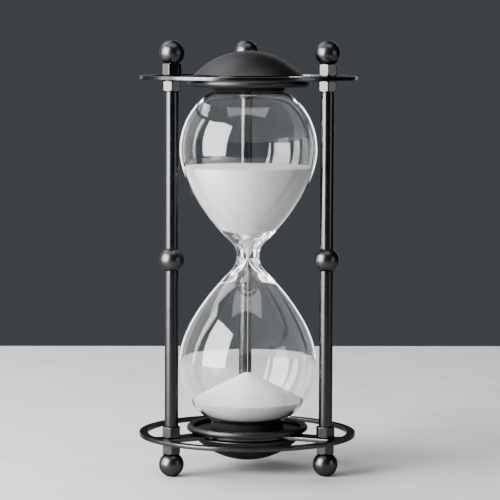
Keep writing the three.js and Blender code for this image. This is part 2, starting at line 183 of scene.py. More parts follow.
# %% Carry a profile round an axis
def turned(name, profile, centre=(0, 0), steps=96, closed=False, ripple=None):
    """A profile of (radius, height) carried round an upright axis: x = r cos a, y = r sin a.
    An open profile starts and ends on the axis; a closed one goes round a bore. ripple(a, r, z)
    may move the surface: it gives what is added to the radius and to the height."""
    profile = np.array(profile, float)
    shifted = np.roll(profile, -1, axis=0)
    area = np.sum(profile[:, 0] * shifted[:, 1] - shifted[:, 0] * profile[:, 1])
    if area < 0:
        profile = profile[::-1]
    wear = edge_wear(profile, closed)
    ring = profile if closed else profile[1:-1]
    ring_wear = wear if closed else wear[1:-1]
    angle = np.linspace(0, 2 * np.pi, steps, endpoint=False)
    radius = np.repeat(ring[:, :1], steps, axis=1)
    height = np.repeat(ring[:, 1:], steps, axis=1)
    if ripple:
        add_radius, add_height = ripple(angle[None, :], radius, height)
        radius, height = radius + add_radius, height + add_height
    x = centre[0] + radius * np.cos(angle)
    y = centre[1] + radius * np.sin(angle)
    points = np.stack((x, y, height), -1).reshape(-1, 3)
    faces = grid_faces(len(ring), steps, closed).tolist()
    point_wear = np.repeat(ring_wear, steps)
    if not closed:
        bottom, top, last = len(points), len(points) + 1, (len(ring) - 1) * steps
        poles = np.array([[*centre, profile[0, 1]], [*centre, profile[-1, 1]]])
        if ripple:
            on_axis = np.zeros((2, 1))
            poles[:, 2:] += ripple(on_axis, on_axis, poles[:, 2:])[1]
        points = np.vstack((points, poles))
        here = np.arange(steps)
        following = (here + 1) % steps
        faces += np.column_stack((np.full(steps, bottom), following, here)).tolist()
        faces += np.column_stack((np.full(steps, top), last + here, last + following)).tolist()
        point_wear = np.append(point_wear, [0, 0])
    return mesh_object(name, points, faces, point_wear)


print("a closed profile goes round a bore, and an open one ends in two poles")

# %% [markdown]
# ## The black finish
#
# The frame of an hourglass like this is steel with a thin satin black coat. It looks nearly
# black, yet it mirrors a lamp as a soft bright stripe, so it can't be a plain matt paint. Here
# the coat is a dark metal-like surface with three layers of detail:
#
# - a fine orange peel, a fraction of a millimetre across, from the spraying
# - broad, faint changes in gloss, where fingers have been
# - lighter, smoother edges, where the coat is thin
#
# Spun sheet has a duller coat and a fourth layer: the faint rings that the spinning tool leaves.
#
# All patterns read Object coordinates, which on these pieces are the real metres.

# %% Start a material, and the two patterns it is made of
def new_material(name):
    """A node material as it starts, its node tree and its main shader."""
    material = bpy.data.materials.new(name)
    material.use_nodes = True
    tree = material.node_tree
    return material, tree, tree.nodes["Principled BSDF"]


def place(tree):
    """The point being shaded, in metres, from the origin on the table."""
    return tree.nodes.new("ShaderNodeTexCoord").outputs["Object"]


def noise(tree, point, size, detail=2.0, rough=0.5, stretch=(1, 1, 1)):
    """Cloudy noise whose blobs are about size metres across, from 0 to 1."""
    mapping = tree.nodes.new("ShaderNodeMapping")
    mapping.inputs["Scale"].default_value = stretch
    tree.links.new(point, mapping.inputs["Vector"])
    node = tree.nodes.new("ShaderNodeTexNoise")
    node.inputs["Scale"].default_value = 1 / size
    node.inputs["Detail"].default_value = detail
    node.inputs["Roughness"].default_value = rough
    tree.links.new(mapping.outputs["Vector"], node.inputs["Vector"])
    return node.outputs["Fac"]


def spread(tree, value, low, high, to_low, to_high):
    """A value mapped from one range to another, and kept inside it."""
    node = tree.nodes.new("ShaderNodeMapRange")
    ends = {"From Min": low, "From Max": high, "To Min": to_low, "To Max": to_high}
    for socket, number in ends.items():
        node.inputs[socket].default_value = number
    tree.links.new(value, node.inputs["Value"])
    return node.outputs["Result"]


# %% Put values and colours together, and give a shader relief
def combine(tree, operation, first, second):
    """Two values, or a value and a number, put together by one sum."""
    node = tree.nodes.new("ShaderNodeMath")
    node.operation = operation
    for socket, value in zip(node.inputs, (first, second)):
        if isinstance(value, (int, float)):
            socket.default_value = value
        else:
            tree.links.new(value, socket)
    return node.outputs["Value"]


def colours(tree, value, stops):
    """A colour for each value, blended between (place, colour) stops."""
    ramp = tree.nodes.new("ShaderNodeValToRGB")
    elements = ramp.color_ramp.elements
    while len(elements) < len(stops):
        elements.new(0.5)
    for element, (at, colour) in zip(elements, stops):
        element.position = at
        element.color = (*colour, 1)
    tree.links.new(value, ramp.inputs["Fac"])
    return ramp.outputs["Color"]


def bump(tree, shader, height, depth, strength=1.0, normal=None):
    """Relief of a real depth, in metres, on a shader, over any relief that is there already."""
    node = tree.nodes.new("ShaderNodeBump")
    node.inputs["Strength"].default_value = strength
    node.inputs["Distance"].default_value = depth
    tree.links.new(height, node.inputs["Height"])
    if normal is not None:
        tree.links.new(normal, node.inputs["Normal"])
    tree.links.new(node.outputs["Normal"], shader.inputs["Normal"])
    return node.outputs["Normal"]


print("helpers:", [helper.__name__ for helper in (place, noise, spread, combine, colours, bump)])


# %% The satin black coat
def black_coat(name, gloss=0.24, peel=0.003 * MM, turned_lines=0.0, tone=0.07):
    """Satin black on steel. gloss is the roughness of clean coat, peel the depth of the orange
    peel, turned_lines the depth of faint rings left by the spinning tool, and tone how much
    light clean coat throws back."""
    material, tree, shader = new_material(name)
    point = place(tree)
    wear_layer = tree.nodes.new("ShaderNodeAttribute")
    wear_layer.attribute_name = "wear"
    patches = noise(tree, point, 9 * MM, detail=4, rough=0.6)
    scuffs = noise(tree, point, 1.1 * MM, detail=5, rough=0.65)
    scuffed = spread(tree, scuffs, 0.4, 0.75, 0, 1)
    worn = combine(tree, "MULTIPLY", wear_layer.outputs["Fac"], scuffed)
    cloudy = combine(tree, "MULTIPLY", patches, 0.3)
    shade = combine(tree, "ADD", cloudy, combine(tree, "MULTIPLY", worn, 0.5))
    greys = [(0.05, 0.83 * tone), (0.25, tone), (0.9, 2.4 * tone)]
    coat = colours(tree, shade, [(at, (grey, grey, 1.03 * grey)) for at, grey in greys])
    tree.links.new(coat, shader.inputs["Base Color"])
    shader.inputs["Metallic"].default_value = 1.0
    shader.inputs["Specular Tint"].default_value = (0.45, 0.45, 0.45, 1)
    dull = spread(tree, patches, 0.3, 0.7, gloss - 0.02, gloss + 0.04)
    rubbed = combine(tree, "SUBTRACT", dull, combine(tree, "MULTIPLY", worn, 0.08))
    tree.links.new(rubbed, shader.inputs["Roughness"])
    relief = bump(tree, shader, noise(tree, point, 0.45 * MM, detail=2, rough=0.5), peel)
    if turned_lines:
        separate = tree.nodes.new("ShaderNodeSeparateXYZ")
        tree.links.new(point, separate.inputs[0])
        flat = tree.nodes.new("ShaderNodeCombineXYZ")
        tree.links.new(separate.outputs["X"], flat.inputs["X"])
        tree.links.new(separate.outputs["Y"], flat.inputs["Y"])
        length = tree.nodes.new("ShaderNodeVectorMath")
        length.operation = "LENGTH"
        tree.links.new(flat.outputs[0], length.inputs[0])
        rings = tree.nodes.new("ShaderNodeTexNoise")
        rings.noise_dimensions = "1D"
        rings.inputs["Scale"].default_value = 1 / (0.6 * MM)
        rings.inputs["Detail"].default_value = 3
        tree.links.new(length.outputs["Value"], rings.inputs["W"])
        bump(tree, shader, rings.outputs["Fac"], turned_lines, 0.5, relief)
    return material


frame_black = black_coat("satin black, rods and plates")
ball_black = black_coat("satin black, balls", gloss=0.31, peel=0.002 * MM, tone=0.088)
spun_black = black_coat(
    "satin black, spun sheet", gloss=0.44, peel=0.01 * MM, turned_lines=0.005 * MM
)
print("black finishes:", [finish.name for finish in (frame_black, ball_black, spun_black)])

# %% [markdown]
# ## Steel and rubber
#
# The tie rods and studs are plain rolled steel, with fine lines along their length: a noise that
# is stretched along one axis gives them. The pads are moulded black rubber, matt and grainy,
# with a trace of dust in scattered patches. Both need only one or two noises.

# %% Rolled steel and moulded rubber
def plain_steel():
    """Rolled steel rod with fine lines along its length."""
    material, tree, shader = new_material("plain steel")
    point = place(tree)
    lines = noise(tree, point, 0.3 * MM, detail=3, rough=0.6, stretch=(1, 1, 0.03))
    greys = [(0.3, (0.42, 0.42, 0.43)), (0.7, (0.62, 0.62, 0.63))]
    tree.links.new(colours(tree, lines, greys), shader.inputs["Base Color"])
    shader.inputs["Metallic"].default_value = 1.0
    tree.links.new(spread(tree, lines, 0.3, 0.7, 0.28, 0.45), shader.inputs["Roughness"])
    bump(tree, shader, lines, 0.01 * MM)
    return material


def moulded_rubber(name, dark, light):
    """Moulded rubber with the fine grain of the mould and a trace of dust."""
    material, tree, shader = new_material(name)
    point = place(tree)
    grain = noise(tree, point, 0.35 * MM, detail=3, rough=0.6)
    dust = noise(tree, point, 4 * MM, detail=4, rough=0.7)
    shades = [(0.35, dark), (0.75, light)]
    tree.links.new(colours(tree, dust, shades), shader.inputs["Base Color"])
    tree.links.new(spread(tree, grain, 0.3, 0.7, 0.7, 0.95), shader.inputs["Roughness"])
    shader.inputs["Specular IOR Level"].default_value = 0.2
    bump(tree, shader, grain, 0.03 * MM)
    return material


steel = plain_steel()
pad_rubber = moulded_rubber("pad rubber", (0.007, 0.007, 0.007), (0.016, 0.016, 0.016))
stopper_rubber = moulded_rubber("stopper rubber", (0.52, 0.5, 0.46), (0.66, 0.64, 0.6))
print("steel and rubber:", steel.name, pad_rubber.name, stopper_rubber.name, sep=", ")

# %% [markdown]
# ## Glass
#
# The glass is clear and colourless, with the slow waviness that blowing leaves and, on the
# inside, a film of the sand's finest dust. Smears from fingers change its gloss a little. A
# thin shell could fake it, but real refraction needs the true index and both walls.

# %% Blown glass
def blown_glass():
    """Clear glass with slow waves from blowing and a barely greasy surface."""
    material, tree, shader = new_material("blown glass")
    point = place(tree)
    shader.inputs["Base Color"].default_value = (0.985, 0.992, 0.99, 1)
    shader.inputs["Transmission Weight"].default_value = 1.0
    shader.inputs["IOR"].default_value = 1.47
    smears = noise(tree, point, 14 * MM, detail=3, rough=0.6)
    tree.links.new(spread(tree, smears, 0.45, 0.8, 0.0, 0.02), shader.inputs["Roughness"])
    inner = tree.nodes.new("ShaderNodeAttribute")
    inner.attribute_name = "dust"
    dusting = spread(tree, noise(tree, point, 5 * MM, detail=5, rough=0.6), 0.3, 0.8, 0.0, 0.012)
    film = combine(tree, "MULTIPLY", inner.outputs["Fac"], dusting)
    tree.links.new(combine(tree, "SUBTRACT", 1.0, film), shader.inputs["Transmission Weight"])
    slow_waves = noise(tree, point, 16 * MM, detail=1, rough=0.4, stretch=(1, 1, 0.4))
    bump(tree, shader, slow_waves, 0.06 * MM, 0.5)
    return material


clear_glass = blown_glass()
print("glass:", clear_glass.name)

# %% [markdown]
# ## Sand
#
# The sand is fine white quartz. Modelling millions of grains would be slow, so a cell pattern
# of their real size gives each grain its own shade, its own gloss and its own little dome, and
# a few of them glint.

# %% White sand
def white_sand():
    """Fine white quartz sand: grains a fifth of a millimetre across, each with its own shade."""
    material, tree, shader = new_material("white sand")
    point = place(tree)
    grains = tree.nodes.new("ShaderNodeTexVoronoi")
    grains.inputs["Scale"].default_value = 1 / (0.22 * MM)
    tree.links.new(point, grains.inputs["Vector"])
    own = tree.nodes.new("ShaderNodeSeparateColor")
    tree.links.new(grains.outputs["Color"], own.inputs[0])
    drift = noise(tree, point, 7 * MM, detail=4, rough=0.6)
    each = combine(tree, "MULTIPLY", own.outputs[0], 0.6)
    shade = combine(tree, "ADD", each, combine(tree, "MULTIPLY", drift, 0.4))
    tones = [(0.1, (0.78, 0.775, 0.76)), (0.35, (0.9, 0.895, 0.885)), (0.8, (0.96, 0.96, 0.955))]
    tree.links.new(colours(tree, shade, tones), shader.inputs["Base Color"])
    tree.links.new(spread(tree, own.outputs[1], 0.0, 1.0, 0.55, 1.0), shader.inputs["Roughness"])
    shader.inputs["Specular IOR Level"].default_value = 0.35
    grain_relief = spread(tree, grains.outputs["Distance"], 0.0, 0.6, 1.0, 0.0)
    relief = bump(tree, shader, grain_relief, 0.09 * MM, 0.8)
    bump(tree, shader, noise(tree, point, 1.6 * MM, detail=3, rough=0.6), 0.12 * MM, 0.6, relief)
    return material


sand = white_sand()
print("all finishes:", len(bpy.data.materials))


# %% A helper that dresses a finished piece
def dress(piece, node, material):
    """Gives a piece its finish, stands it in for its node, and lets it ride with the frame."""
    piece.data.materials.append(material)
    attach(piece, "root")
    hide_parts(node)
    return piece


print("nodes to dress:", len(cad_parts))

# %% [markdown]
# ## The posts
#
# Each post is a stack threaded on a rod: ball foot, hexagon collar, plate, hexagon nut, tube,
# middle ball, and the same again upwards. The balls are turned from bar and have a small flat
# where they seat and, at the two ends of the post, where they stand on the table.

# %% Balls
BORE = 3.3 * MM
BLIND_BORE = 3.2 * MM
BLIND_DEPTH = 8 * MM
REST_FLAT = 2.2 * MM
BALL_ARC_STEPS = 48
BALL_STEPS = 72


def half_width(node):
    """Half of a node's width: the radius of a round piece."""
    low, high = low_high(node)
    return (high[0] - low[0]) / 2


def end_ball(post, which, side):
    """A ball with a blind bore. Its profile is an arc between the seat's flat and the foot's."""
    node = f"{post}_{which}"
    low, high = low_high(node)
    radius = half_width(node)
    rest, seat = (low[2], high[2]) if side < 0 else (high[2], low[2])
    bore_end = seat + side * BLIND_DEPTH
    centre = rest - side * np.sqrt(radius**2 - REST_FLAT**2)
    start = np.degrees(np.arcsin((seat - centre) / radius))
    stop = np.degrees(np.arcsin((rest - centre) / radius))
    body = arc((0, centre), radius, start, stop, BALL_ARC_STEPS)
    inside = [(0, bore_end), (BLIND_BORE, bore_end), (BLIND_BORE, seat)]
    profile = np.vstack((inside, body, [(0, rest)]))
    piece = turned(node, profile, post_centre(post), steps=BALL_STEPS)
    return dress(piece, node, ball_black)


def middle_ball(post):
    """A ball bored right through, with a flat at each end of the bore for the tubes."""
    node = f"{post}_middle_ball"
    low, high = low_high(node)
    radius = half_width(f"{post}_foot_ball")
    half = (high[2] - low[2]) / 2
    tilt = np.degrees(np.arcsin(half / radius))
    body = arc((0, MIDDLE), radius, -tilt, tilt, BALL_ARC_STEPS)
    profile = np.vstack(([(BORE, MIDDLE - half)], body, [(BORE, MIDDLE + half)]))
    piece = turned(node, profile, post_centre(post), steps=BALL_STEPS, closed=True)
    return dress(piece, node, ball_black)


balls = [end_ball(p, "foot_ball", -1) for p in POSTS]
balls += [end_ball(p, "finial_ball", 1) for p in POSTS]
balls += [middle_ball(p) for p in POSTS]
print("balls:", len(balls))

# %% [markdown]
# A hexagon collar is cut from hexagon bar and its corners are turned off at both ends. That
# is why a nut's end is a circle and each of its sides ends in a small arch. Both come from
# one rule: at every angle the radius is the smaller of the hexagon's and the turning cone's.

# %% Hexagon collars and nuts
HEX_FLATS = 10 * MM
HEX_CHAMFER = 0.75 * MM
HEX_CORNER = 0.1 * MM
HEX_END_INSET = 0.15 * MM
HEX_WORN = 0.45 * MM
BORE_LIP = 0.4 * MM
HALF_SIDE = np.radians(30)
SIDE_POINTS = 14
HEX_TURNS = {
    "left": {"bottom_collar": 4, "bottom_nut": -5, "top_collar": 43, "top_nut": 0},
    "right": {"bottom_collar": -3, "bottom_nut": 8, "top_collar": 1, "top_nut": -2},
    "rear": {"bottom_collar": 12, "bottom_nut": 25, "top_collar": 17, "top_nut": 9},
}


def hexagon_piece(post, which):
    """A hexagon with turned-off corners and a bore, as a grid over angle and the way along the
    profile: r = min(half the width across flats / cos(angle from the side's middle), cone).
    The angles crowd towards the corners, where the surface turns."""
    node = f"{post}_{which}"
    low, high = low_high(node)
    bottom, top = low[2], high[2]
    half = HEX_FLATS / 2
    corner = half / np.cos(HALF_SIDE) - HEX_CORNER
    end_circle = half - HEX_END_INSET
    sweep = np.radians(np.linspace(-90, 90, SIDE_POINTS, endpoint=False))
    side = HALF_SIDE * np.sin(sweep)
    angle = (np.arange(6)[:, None] * 2 * HALF_SIDE + side).ravel()
    from_middle = np.tile(side, 6)
    hexagon = half / np.cos(from_middle)
    rise = np.linspace(0, HEX_CHAMFER, 9)
    cone = end_circle + (corner + HEX_CORNER - end_circle) * rise / HEX_CHAMFER
    side_heights = np.linspace(bottom + 1.5 * HEX_CHAMFER, top - 1.5 * HEX_CHAMFER, 6)
    lip = [BORE, BORE + BORE_LIP]
    heights = [[bottom, bottom], bottom + rise, side_heights, top - rise[::-1], [top, top]]
    limits = [lip, cone, np.full(6, corner), cone[::-1], lip[::-1]]
    heights, limits = np.concatenate(heights), np.concatenate(limits)
    radius = np.minimum(limits[:, None], np.minimum(hexagon, corner)[None, :])
    turn = np.radians(HEX_TURNS[post][which] - 90) + HALF_SIDE
    x = post_centre(post)[0] + radius * np.cos(angle + turn)
    y = post_centre(post)[1] + radius * np.sin(angle + turn)
    points = np.stack((x, y, np.repeat(heights[:, None], len(angle), axis=1)), -1)
    wear = np.clip(1 - (corner + HEX_CORNER - radius) / HEX_WORN, 0, 1)
    faces = grid_faces(len(heights), len(angle), True).tolist()
    piece = mesh_object(node, points.reshape(-1, 3), faces, wear.ravel())
    return dress(piece, node, frame_black)


hexes = [hexagon_piece(p, w) for p in POSTS for w in HEX_TURNS[p]]
print("hexagon pieces:", len(hexes))

# %% [markdown]
# A tube hides the rod between a nut and a ball. It is drawn thin, cut to length and its ends are
# broken with a file. It could be two cylinders, but a turned outline gives the bevels at once.

# %% Tubes
BORE_EDGE = 0.15 * MM
TUBE_EDGE = 0.25 * MM
SEAM_HEIGHT = 20 * MM


def tube(post, which):
    """A drawn tube: a thin wall between two radii, with its ends broken by small bevels."""
    node = f"{post}_{which}"
    low, high = low_high(node)
    outer = half_width(node)
    bottom, top = low[2], high[2]
    seam = (BORE, bottom + SEAM_HEIGHT)
    lower_end = [(BORE, bottom), (outer, bottom), (outer, bottom + MM)]
    upper_end = [(outer, top - MM), (outer, top), (BORE, top)]
    radii = [BORE_EDGE, TUBE_EDGE, 0, 0, TUBE_EDGE, BORE_EDGE]
    profile = rounded([seam, *lower_end, *upper_end, seam], radii)[:-1]
    piece = turned(node, profile, post_centre(post), steps=64, closed=True)
    return dress(piece, node, frame_black)


tubes = [tube(p, w) for p in POSTS for w in ("lower_tube", "upper_tube")]
print("tubes:", len(tubes))

# %% [markdown]
# ## The ring plates
#
# Each plate is cut from one sheet: an outer ring, three spokes and a hub. It isn't turned, so
# its rounded edge is carried round every outline instead, and the flat faces are filled in
# between the outlines. The inside corners of the three openings are arcs that touch both a
# spoke and a ring, and their centres follow from Pythagoras.

# %% The outline of an opening
PLATE_RIM = 5 * MM
PLATE_HUB = 30 * MM
SPOKE_HALF = 6 * MM
CORNER = 3 * MM
SAME_POINT = 1e-7


def circle(centre, radius, steps):
    """A full circle of points, anticlockwise."""
    angle = np.linspace(0, 2 * np.pi, steps, endpoint=False)
    return np.column_stack((centre[0] + radius * np.cos(angle), centre[1] + radius * np.sin(angle)))


def across_opening(path):
    """A path mirrored in the line at 60 degrees, which halves an opening, and run backwards:
    (x, y) goes to (x cos 120 + y sin 120, x sin 120 - y cos 120)."""
    far = np.radians(120)
    flip = np.array([[np.cos(far), np.sin(far)], [np.sin(far), -np.cos(far)]])
    return (path @ flip)[::-1]


def opening(radius, degrees):
    """One of the three openings, between the spoke at an angle and the next one 120 degrees on.
    Along a spoke, a corner's centre lies at sqrt(d^2 - w^2): d is its distance from the middle
    of the plate and w its distance from the spoke's own middle line."""
    rim = radius - PLATE_RIM
    away = SPOKE_HALF + CORNER
    outer = np.sqrt((rim - CORNER) ** 2 - away**2)
    inner = np.sqrt((PLATE_HUB + CORNER) ** 2 - away**2)
    outer_turn = np.degrees(np.arctan2(away, outer))
    inner_turn = np.degrees(np.arctan2(away, inner))
    outer_corner = arc((outer, away), CORNER, -90, outer_turn, 8)
    inner_corner = arc((inner, away), CORNER, -90, inner_turn - 180, 8)
    along_rim = arc((0, 0), rim, outer_turn, 120 - outer_turn, 60)
    along_hub = arc((0, 0), PLATE_HUB, 120 - inner_turn, inner_turn, 40)
    near_side = [outer_corner, along_rim]
    far_side = [across_opening(outer_corner), across_opening(inner_corner)]
    path = np.vstack((*near_side, *far_side, along_hub, inner_corner[::-1]))
    turn = np.radians(degrees)
    path = path @ np.array([[np.cos(turn), np.sin(turn)], [-np.sin(turn), np.cos(turn)]])
    keep = np.linalg.norm(path - np.roll(path, 1, axis=0), axis=1) > SAME_POINT
    return path[keep]


plate_radius = low_high("top_ring_plate")[1][0]
print("points round an opening:", len(opening(plate_radius, 0)))

# %% A flat sheet between outlines
PLATE_EDGE = 0.45 * MM
FLAT_MARGIN = 0.1 * MM
EDGE_WEAR = 0.7


def fill_flat(rings, facing):
    """Triangles that fill a flat face between closed outlines, turned to face up or down by the
    sign of their area: (b - a) x (c - a)."""
    corners = np.array(tessellate_polygon([ring.tolist() for ring in rings]))
    a, b, c = (np.vstack(rings)[corners[:, k]] for k in range(3))
    area = (b - a)[:, 0] * (c - a)[:, 1] - (b - a)[:, 1] * (c - a)[:, 0]
    corners, area = corners[area != 0], area[area != 0]
    return np.where((area * facing > 0)[:, None], corners, corners[:, ::-1])


def sheet_plate(name, outlines, low, high, edge, steps=4):
    """A flat sheet with a rounded edge. Each outline, with the metal on its left, is moved
    square to itself by the quarter circles of the edge: the inset is e (1 - sin a) below and
    e (1 - cos a) above. A narrow flat margin follows, and the faces are filled between."""
    turn = np.radians(np.linspace(0, 90, steps + 1))
    margin = [edge + FLAT_MARGIN]
    inset = np.concatenate((margin, edge * (1 - np.sin(turn)), edge * (1 - np.cos(turn)), margin))
    lower, upper = low + edge * (1 - np.cos(turn)), high - edge * (1 - np.sin(turn))
    height = np.concatenate(([low], lower, upper, [high]))
    rows = len(inset)
    row_wear = np.where((height > low) & (height < high), EDGE_WEAR, 0.0)
    points, faces, wear, under, over, count = [], [], [], [], [], 0
    for path in outlines:
        ahead = np.roll(path, -1, axis=0) - np.roll(path, 1, axis=0)
        ahead /= np.linalg.norm(ahead, axis=1)[:, None]
        left = np.column_stack((-ahead[:, 1], ahead[:, 0]))
        rings = path[None] + left[None] * inset[:, None, None]
        levels = np.repeat(height[:, None], len(path), axis=1)
        points.append(np.dstack((rings, levels)).reshape(-1, 3))
        faces += (count + grid_faces(rows, len(path), False)).tolist()
        wear.append(np.repeat(row_wear, len(path)))
        under.append((count + np.arange(len(path)), rings[0]))
        over.append((count + (rows - 1) * len(path) + np.arange(len(path)), rings[-1]))
        count += rings[..., 0].size
    for sides, facing in ((under, -1), (over, 1)):
        numbers = np.concatenate([number for number, ring in sides])
        faces += numbers[fill_flat([ring for number, ring in sides], facing)].tolist()
    return mesh_object(name, np.vstack(points), faces, np.concatenate(wear))


print("a sheet's edge is rounded to", PLATE_EDGE / MM, "mm")

# %% The two ring plates
STUD_HOLE = 2.8 * MM
RIM_STEPS = 240
HOLE_STEPS = 32


def ring_plate(end):
    """A plate's outlines: its rim, the hole for the stud, and a hole and an opening for each
    post. The inner ones run clockwise, so that the metal is always on the left."""
    node = f"{end}_ring_plate"
    low, high = low_high(node)
    outlines = [circle((0, 0), high[0], RIM_STEPS)]
    outlines.append(circle((0, 0), STUD_HOLE, HOLE_STEPS)[::-1])
    for post in POSTS:
        x, y = post_centre(post)
        outlines.append(circle((x, y), BORE, HOLE_STEPS)[::-1])
        outlines.append(opening(high[0], np.degrees(np.arctan2(y, x)))[::-1])
    piece = sheet_plate(node, outlines, low[2], high[2], PLATE_EDGE)
    return dress(piece, node, frame_black)


plates = [ring_plate(end) for end in ENDS]
print("plates:", [len(p.data.polygons) for p in plates], "faces")

# %% [markdown]
# ## Domes, dishes and pads
#
# The dome and the dish are spun from sheet on a lathe. The dome is part of a sphere, and the
# radius of that sphere follows from its width and height. The dish ends in a bead: the sheet
# is rolled over into a ring, which hides the raw edge. A rubber pad lies in each dish, and
# the glass presses it so that its side bulges a little.

# %% Domes
SHEET = 1 * MM
SPUN_STEPS = 160
FOOT_TURN = 0.5
INNER_FOOT_TURN = 0.6
TOE_OUTER = 0.1 * MM
TOE_INNER = 0.15 * MM


def dome(end, side):
    """A spun cap: two arcs about one centre, a sheet's thickness apart, and a bevelled foot.
    The sphere's radius is (b^2 + h^2) / 2h for a cap of half width b and height h."""
    node = f"{end}_dome"
    low, high = low_high(node)
    base, top = (high[2], low[2]) if side < 0 else (low[2], high[2])
    width, rise = high[0], abs(top - base)
    sphere = (width**2 + rise**2) / (2 * rise)
    centre = top - side * sphere
    foot = np.degrees(np.arcsin((base - centre) * side / sphere))
    inner = sphere - SHEET
    inner_foot = np.degrees(np.arcsin((base - centre) * side / inner))
    outside = arc((0, 0), sphere, foot + FOOT_TURN, 90, 90)
    inside = arc((0, 0), inner, 90, inner_foot + INNER_FOOT_TURN, 60)
    inside[0, 0], outside[-1, 0] = 0, 0
    drop = (base - centre) * side
    toe = [(inside[-1, 0] + TOE_INNER, drop), (outside[0, 0] - TOE_OUTER, drop)]
    profile = np.vstack((inside, toe, outside))
    profile[:, 1] = centre + side * profile[:, 1]
    piece = turned(node, profile, steps=SPUN_STEPS)
    return dress(piece, node, spun_black)


print("a dome is", round(2 * half_width("top_dome") / MM, 1), "mm across")

# %% Dishes
BEAD_FOOT = 0.6 * MM
BEAD_FILLET = 0.4 * MM


def dish(end, side):
    """A flat floor that runs out into a round bead, which curls inwards over the floor."""
    node = f"{end}_dish"
    low, high = low_high(node)
    under, over = (low[2], high[2]) if side < 0 else (high[2], low[2])
    bead = abs(over - under) / 2
    out = high[0] - bead
    face = under - side * SHEET
    meet = np.degrees(np.arcsin((bead - SHEET) / bead))
    rim = arc((out, 0), bead, -90, 180 + meet, 56)
    rim[:, 1] = (under + over) / 2 - side * rim[:, 1]
    foot = (rim[-1, 0] - BEAD_FOOT, face)
    floor = rounded([rim[-1], foot, (STUD_HOLE, face)], [BEAD_FILLET])
    profile = np.vstack(([(STUD_HOLE, under)], rim, floor[1:]))
    piece = turned(node, profile, steps=SPUN_STEPS, closed=True)
    return dress(piece, node, spun_black)


print("a dish is", round(2 * half_width("top_dish") / MM, 1), "mm across")

# %% Pads, and the pieces of both ends
PAD_HOLE = 7 * MM
PAD_SWELL = 0.5 * MM
PAD_EDGE = 1.1 * MM
PAD_BULGE = 8 * MM


def pad(end, side):
    """A rubber ring: its outer side is an arc that bulges between two rounded edges."""
    node = f"{end}_rubber_pad"
    low, high = low_high(node)
    outer, edge = high[0], high[0] - PAD_SWELL
    bulge = (outer, (low[2] + high[2]) / 2)
    corners = [(PAD_HOLE, low[2]), (edge, low[2]), bulge, (edge, high[2]), (PAD_HOLE, high[2])]
    profile = rounded(corners, [PAD_EDGE, PAD_BULGE, PAD_EDGE], 8)
    piece = turned(node, profile, steps=128, closed=True)
    return dress(piece, node, pad_rubber)


at_the_ends = [make(end, side) for end, side in ENDS.items() for make in (dome, dish, pad)]
print("domes, dishes and pads:", [round(p.dimensions.x / MM, 1) for p in at_the_ends], "mm across")

# %% [markdown]
# ## The glass
#
# The bulbs are one tube of glass, blown out above and below and drawn in at the middle. The
# outside is a bend at the neck, a flare and a cap, and each runs smoothly into the next. The
# inside keeps a thin, even wall, except at the neck, where the glass is thick and a
# narrow funnel runs through it. Where light crosses that thick part it bends most, so the
# neck sparkles. It is a real wall with two surfaces: a single skin wouldn't refract.

# %% The outside of the glass
WALL = 1.4 * MM
NECK_RADIUS = 6.75 * MM
NECK_BEND = 12 * MM
FLARE = np.radians(49.6)
END_FLAT = 18 * MM
FILL_HOLE = 6 * MM
THROAT = (0.75 * MM, 1 * MM)
WIDEST = GLASS_HALF * 0.648
NECK_PULL = 5.7 * MM
WAIST_PULL = 24.7 * MM
SHOULDER_PULL = 17 * MM
CROWN_PULL = 12 * MM


def outside_curves(steps):
    """The neck's bend, the flare and the cap of one bulb, from the middle up, as three paths."""
    bend = arc((NECK_RADIUS + NECK_BEND, 0), NECK_BEND, 180, 180 - np.degrees(FLARE), steps)
    start = bend[-1]
    along = np.array([np.sin(FLARE), np.cos(FLARE)])
    widest = np.array([BULB_RADIUS, WIDEST])
    leave_neck = start + NECK_PULL * along
    flare = bezier(start, leave_neck, widest - (0, WAIST_PULL), widest, 2 * steps)
    end = np.array([END_FLAT, GLASS_HALF])
    cap = bezier(widest, widest + (0, SHOULDER_PULL), end + (CROWN_PULL, 0), end, 2 * steps)
    return bend, flare, cap


print("points in the bend, flare and cap:", [len(path) for path in outside_curves(24)])

# %% The inside of the glass
FUNNEL_SLANT = np.radians(15)
FUNNEL_PULL = 9 * MM
JOIN_PULL = 5 * MM
FINER = 4


def parallel(path, distance):
    """A path moved square to itself, to its left, by a distance."""
    ahead = np.gradient(path, axis=0)
    ahead /= np.linalg.norm(ahead, axis=1)[:, None]
    return path + distance * np.column_stack((-ahead[:, 1], ahead[:, 0]))


def inside_outline(steps, gap=0.0):
    """The funnel in the thick neck and then the thin wall, from the throat up, less a gap. The
    funnel ends a quarter of the way along the flare. The path is worked out finer than it is
    needed, so that moving it square to itself stays exact, and then thinned."""
    bend, flare, cap = outside_curves(FINER * steps)
    join = len(flare) // 4
    slope = flare[join + 1] - flare[join - 1]
    slope /= np.linalg.norm(slope)
    thin = parallel(flare, WALL)[join:]
    throat = np.array(THROAT)
    pull = throat + FUNNEL_PULL * np.array([np.sin(FUNNEL_SLANT), np.cos(FUNNEL_SLANT)])
    funnel = bezier(throat, pull, thin[0] - JOIN_PULL * slope, thin[0], FINER * steps)
    path = np.vstack((funnel[:-1], thin[:-1], parallel(cap, WALL)))
    return parallel(path, gap)[::FINER] if gap else path[::FINER]


print("points on the inside of one bulb:", len(inside_outline(24)))

# %% Waves and dust
WAVE_DEPTH = 0.012 * MM
UPRIGHT_SHARE = 0.15


def waves(angle, radius, height):
    """Slow waves, at most a twentieth of a millimetre deep, which only ever go inwards: two
    sines of two and three turns of the angle, less 2, times the depth and r / widest r."""
    wave = np.sin(2 * angle + 90 * height) + np.sin(3 * angle - 140 * height + 1) - 2
    return WAVE_DEPTH * wave * np.clip(radius / BULB_RADIUS, 0, 1), 0 * height


